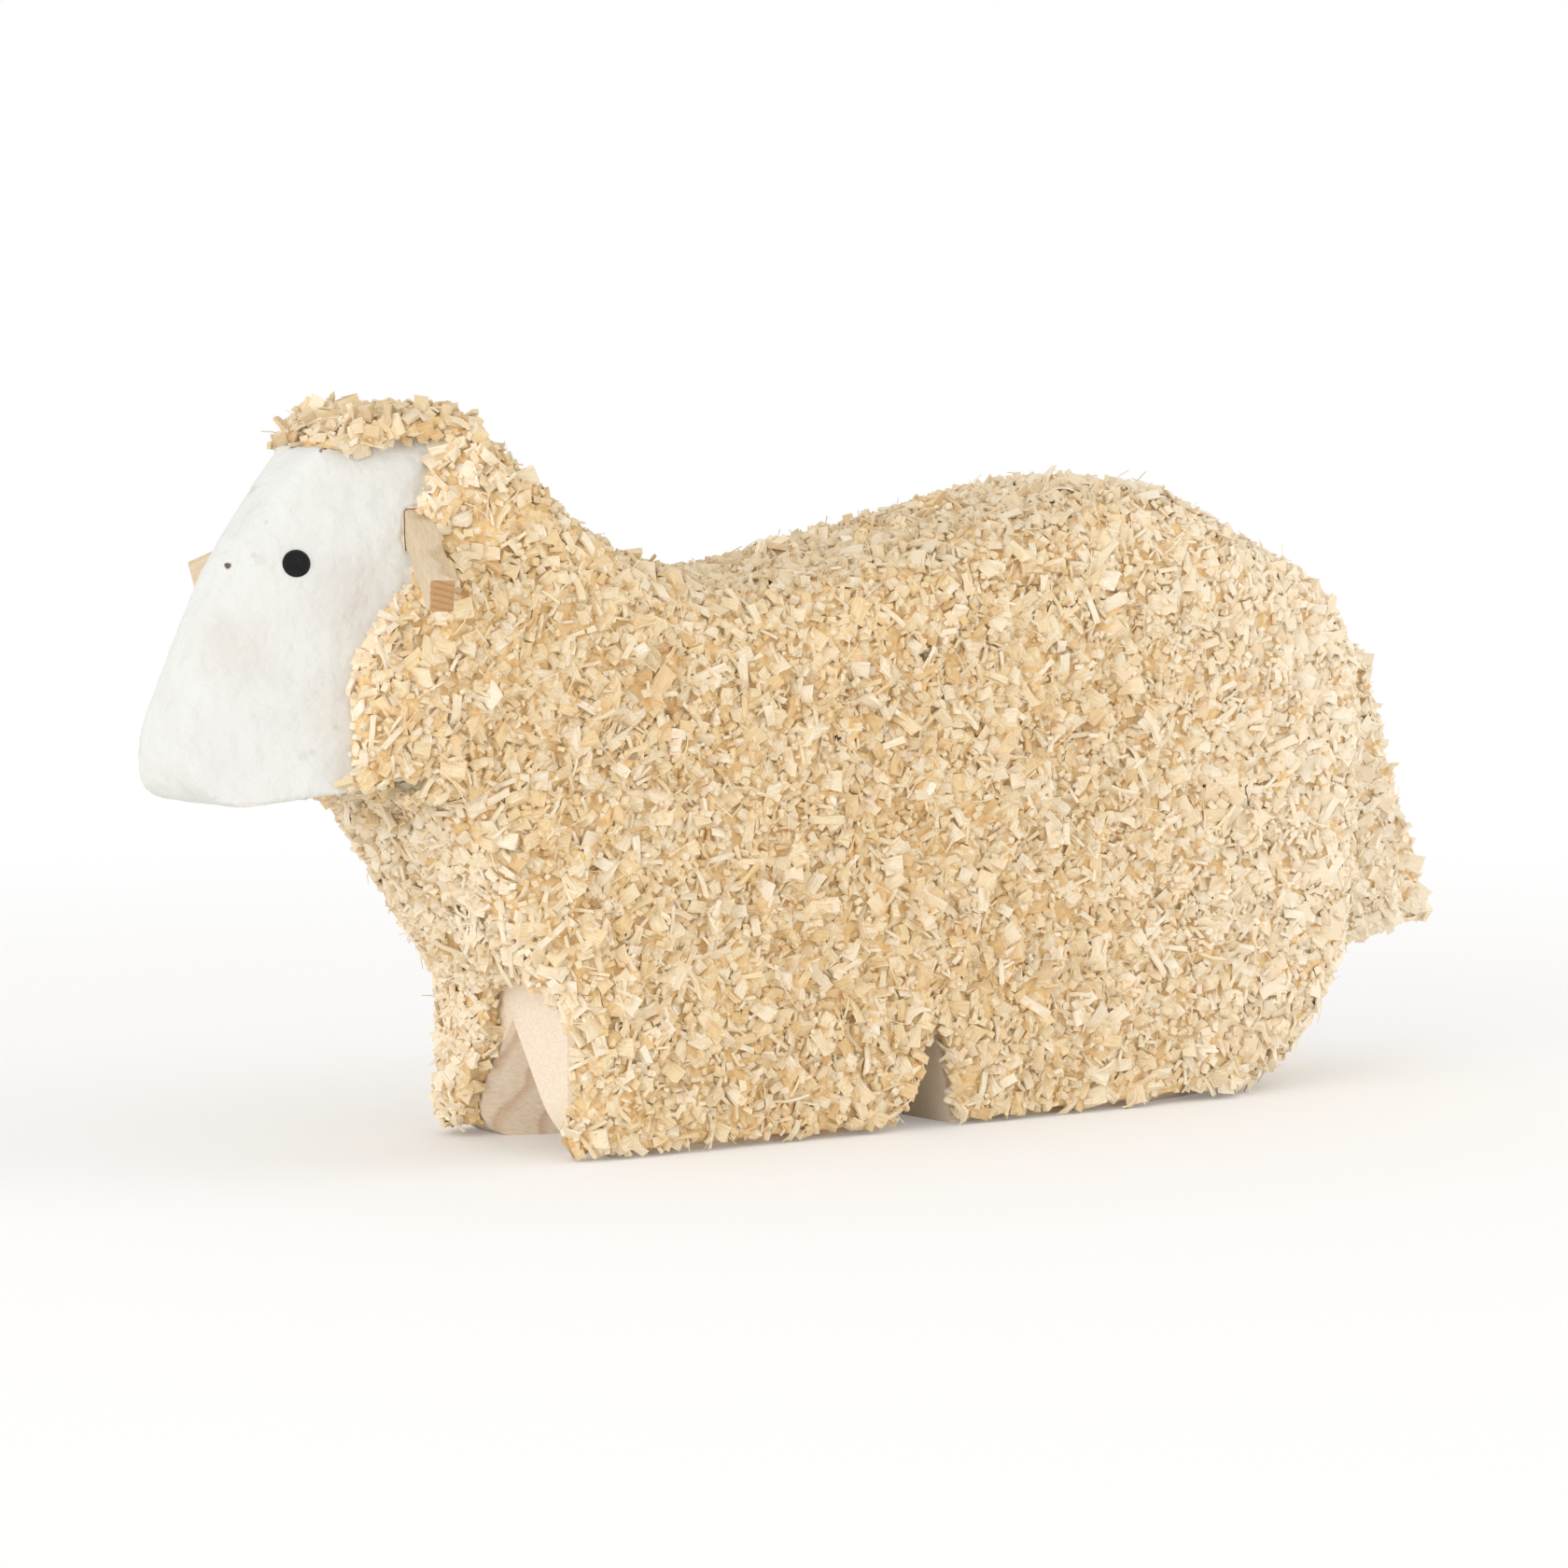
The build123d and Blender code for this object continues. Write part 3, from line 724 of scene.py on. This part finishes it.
def strew(name, ground, seed, layers):
    """Strews the layers of chips over a patch of ground and returns the mesh of all the chips."""
    tree = bpy.data.node_groups.new(name, "GeometryNodeTree")
    tree.interface.new_socket("Geometry", in_out="INPUT", socket_type="NodeSocketGeometry")
    tree.interface.new_socket("Geometry", in_out="OUTPUT", socket_type="NodeSocketGeometry")
    surface = put(tree, "NodeGroupInput").outputs[0]
    joined = put(tree, "GeometryNodeJoinGeometry")
    put(tree, "NodeGroupOutput", {0: joined.outputs[0]})
    for number, (heap, crowd, spacing, lift, lean, sizes, tones) in enumerate(layers):
        draw = seed * 100 + number * 10
        spots = put(
            tree,
            "GeometryNodeDistributePointsOnFaces",
            {"Mesh": surface, "Distance Min": spacing * MM, "Density Max": crowd / MM**2, "Seed": draw},
            distribute_method="POISSON",
        )
        height = random_value(tree, "FLOAT", lift[0] * MM, lift[1] * MM, draw + 1)
        raised = put(
            tree,
            "ShaderNodeVectorMath",
            {0: spots.outputs["Normal"], "Scale": height},
            operation="SCALE",
        )
        placed = put(
            tree,
            "GeometryNodeSetPosition",
            {"Geometry": spots.outputs["Points"], "Offset": raised.outputs[0]},
        )
        toss = random_value(tree, "FLOAT_VECTOR", (-lean, -lean, -math.pi), (lean, lean, math.pi), draw + 2)
        turned = put(
            tree,
            "FunctionNodeRotateRotation",
            {"Rotation": spots.outputs["Rotation"], "Rotate By": toss},
            rotation_space="LOCAL",
        )
        shapes = put(
            tree,
            "GeometryNodeCollectionInfo",
            {"Collection": heap, "Separate Children": True, "Reset Children": True},
        )
        laid = put(
            tree,
            "GeometryNodeInstanceOnPoints",
            {
                "Points": placed.outputs[0],
                "Instance": shapes.outputs[0],
                "Pick Instance": True,
                "Instance Index": random_value(tree, "INT", 0, len(heap.objects) - 1, draw + 3),
                "Rotation": turned.outputs[0],
                "Scale": random_value(tree, "FLOAT", sizes[0], sizes[1], draw + 4),
            },
        )
        toned = put(
            tree,
            "GeometryNodeStoreNamedAttribute",
            {
                "Geometry": laid.outputs[0],
                "Name": "tone",
                "Value": random_value(tree, "FLOAT", tones[0], tones[1], draw + 5),
            },
            data_type="FLOAT",
            domain="INSTANCE",
        )
        faced = put(
            tree,
            "GeometryNodeStoreNamedAttribute",
            {"Geometry": toned.outputs[0], "Name": "facing", "Value": spots.outputs["Normal"]},
            data_type="FLOAT_VECTOR",
            domain="INSTANCE",
        )
        real = put(tree, "GeometryNodeRealizeInstances", {"Geometry": faced.outputs[0]})
        tree.links.new(real.outputs[0], joined.inputs[0])
    ground.modifiers.new("chips", "NODES").node_group = tree
    mesh = baked_mesh(ground)
    bpy.data.node_groups.remove(tree)
    for vert in mesh.vertices:
        vert.co.z = max(vert.co.z, FLOOR_GAP)
    return mesh


def chip_ground(name, bed, keep):
    """The faces of a bed that carry chips and that keep asks for, as an object to strew on."""
    skin = bmesh.new()
    skin.from_mesh(bed.data)
    skin.normal_update()
    left_out = [face for face in skin.faces if not keep(face.calc_center_median() / MM, face.normal)]
    bmesh.ops.delete(skin, geom=left_out, context="FACES")
    mesh = bpy.data.meshes.new(name)
    skin.to_mesh(mesh)
    skin.free()
    ground = bpy.data.objects.new(name + "_ground", mesh)
    bpy.context.scene.collection.objects.link(ground)
    return ground


def shows(place, normal, near, least):
    """Whether a bed face stands off the wood and looks neither at the floor nor over the brow."""
    if normal.z < SOLE_FACING and place.z < SOLE_HIGH:
        return False
    if normal.z < 0.3 and BROW_LOW < place.z < BROW_HIGH and place.x < BROW_BACK:
        return False
    return near.find_nearest(place * MM)[3] > least * COAT_THICKNESS


FLANK_Y = 4.2
SIDES = {"left": (-99, -FLANK_Y), "rim": (-FLANK_Y, FLANK_Y), "right": (FLANK_Y, 99)}
SPANS = {"fore": (-99, -9), "mid": (-9, 11), "hind": (11, 99)}
SOLE_FACING = -0.85
SOLE_HIGH = 1.2
BODY_LEAST = 0.3
TAIL_LEAST = 0.25
FORELOCK_BACK = -24.0
FORELOCK_LOW = 34.4
BROW_LOW = 34.0
BROW_HIGH = 35.2
BROW_BACK = -26.6

seed = 0
for side, (low_y, high_y) in SIDES.items():
    for span, (low_x, high_x) in SPANS.items():
        seed += 1
        name = f"{side}_{span}_chips"
        ground = chip_ground(
            name,
            body_bed,
            lambda place, normal: low_x <= place.x < high_x
            and low_y <= place.y < high_y
            and shows(place, normal, wood_near, BODY_LEAST),
        )
        piece(name, strew(name, ground, seed, CHIP_LAYERS), chip_wood)

ground = chip_ground(
    "forelock_chips",
    body_bed,
    lambda place, normal: place.x < FORELOCK_BACK and place.z > FORELOCK_LOW and normal.z > 0.5,
)
piece("forelock_chips", strew("forelock_chips", ground, 40, FORELOCK_SHADED_LAYERS), chip_wood)

ground = chip_ground(
    "tail_chips",
    tail_bed,
    lambda place, normal: shows(place, normal, tail_near, TAIL_LEAST),
)
piece("tail_chips", strew("tail_chips", ground, 50, CHIP_LAYERS), chip_wood)

for heap in HEAPS:
    for made in list(heap.objects):
        bpy.data.objects.remove(made)
    bpy.data.collections.remove(heap)
core.free()
tail_core.free()


# The stage: a pale floor that turns white away from the figure, soft lamps and an even white room.
FLOOR_HALF = 2.0
FLOOR_NEAR = 0.07
FLOOR_FAR = 0.16
FLOOR_LEAST = 0.15
FLOOR_COLOUR = (0.96, 0.95, 0.935, 1)
WHITE = (1, 1, 1, 1)
ROOM_LIGHT = 0.84
LAMP_AIM = (0, 0, 0.015)

floor_paint, tree = new_material("floor_paint")
coords = object_coords(tree)
far = put(tree, "ShaderNodeVectorMath", {0: coords}, operation="LENGTH").outputs["Value"]
fade = eased(tree, far, FLOOR_NEAR, FLOOR_FAR, low=FLOOR_LEAST)
seen = put(tree, "ShaderNodeLightPath").outputs["Is Camera Ray"]
share = put(tree, "ShaderNodeMath", {0: fade, 1: seen}, operation="MULTIPLY").outputs[0]
matt = put(tree, "ShaderNodeBsdfDiffuse", {"Color": FLOOR_COLOUR})
white = put(tree, "ShaderNodeEmission", {"Color": WHITE, "Strength": 1.0})
mixed = put(tree, "ShaderNodeMixShader", {0: share, 1: matt.outputs[0], 2: white.outputs[0]})
put(tree, "ShaderNodeOutputMaterial", {"Surface": mixed.outputs[0]})

plane = bmesh.new()
bmesh.ops.create_grid(plane, x_segments=1, y_segments=1, size=FLOOR_HALF)
mesh = bpy.data.meshes.new("floor")
plane.to_mesh(mesh)
plane.free()
mesh.materials.append(floor_paint)
floor = bpy.data.objects.new("floor", mesh)
bpy.context.scene.collection.objects.link(floor)


def softbox(name, place, size, power):
    """A square area lamp that looks at the figure."""
    lamp = bpy.data.lights.new(name, "AREA")
    lamp.size = size
    lamp.energy = power
    made = bpy.data.objects.new(name, lamp)
    made.location = place
    made.rotation_euler = (Vector(LAMP_AIM) - Vector(place)).to_track_quat("-Z", "Y").to_euler()
    bpy.context.scene.collection.objects.link(made)


softbox("front_lamp", (-0.62, -0.2, 0.14), 0.6, 2.3)
softbox("side_lamp", (0.1, -0.62, 0.25), 0.6, 0.3)
softbox("rear_lamp", (0.62, -0.25, 0.2), 0.5, 1.4)

world = bpy.data.worlds.new("white_room")
bpy.context.scene.world = world
world.use_nodes = True
tree = world.node_tree
tree.nodes.clear()
seen = put(tree, "ShaderNodeLightPath").outputs["Is Camera Ray"]
room = put(tree, "ShaderNodeBackground", {"Color": WHITE, "Strength": ROOM_LIGHT})
backdrop = put(tree, "ShaderNodeBackground", {"Color": WHITE, "Strength": 1.0})
mixed = put(tree, "ShaderNodeMixShader", {0: seen, 1: room.outputs[0], 2: backdrop.outputs[0]})
put(tree, "ShaderNodeOutputWorld", {"Surface": mixed.outputs[0]})
